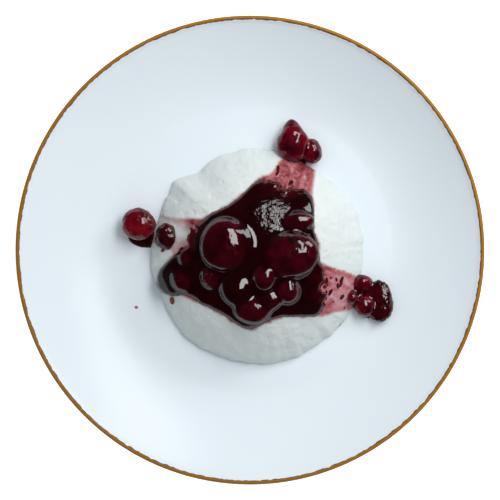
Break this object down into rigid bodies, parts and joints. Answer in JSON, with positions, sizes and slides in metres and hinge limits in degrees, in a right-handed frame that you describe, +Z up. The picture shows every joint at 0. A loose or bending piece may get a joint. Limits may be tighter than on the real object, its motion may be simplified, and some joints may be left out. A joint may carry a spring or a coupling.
{
  "type": "plated panna cotta",
  "caption": "Domed panna cotta with dark cherry compote and loose cooked cherries, on the round coupe plate that it is served on",
  "frame": {"origin": "centre of the plate's foot ring, on the surface that the plate stands on", "axes": "+Z up, out of the dessert; +X and +Y lie in the table top, with the compote's long upper run towards +Y"},
  "size_m": [0.21, 0.21, 0.0379],
  "materials": {
    "porcelain": "glossy",
    "cream": "satin",
    "sauce": "glossy",
    "fruit": "glossy"
  },
  "bodies": {
    "root": {"plate": "porcelain", "panna_cotta": "cream", "compote": "sauce", "cherry_left": "fruit", "cherry_right": "fruit", "cherry_upper": "fruit", "berry_centre": "fruit", "berry_right": "fruit", "berry_low": "fruit", "berry_bottom": "fruit", "cherry_dark": "fruit", "berry_torn": "fruit", "berry_left_low": "fruit", "berry_left_high": "fruit", "berry_west": "fruit", "berry_west_small": "fruit", "berry_north": "fruit", "berry_north_small": "fruit", "berry_east_high": "fruit", "berry_east_low": "fruit", "berry_east_flat": "fruit", "berry_east_tiny": "fruit"}
  },
  "joints": []
}
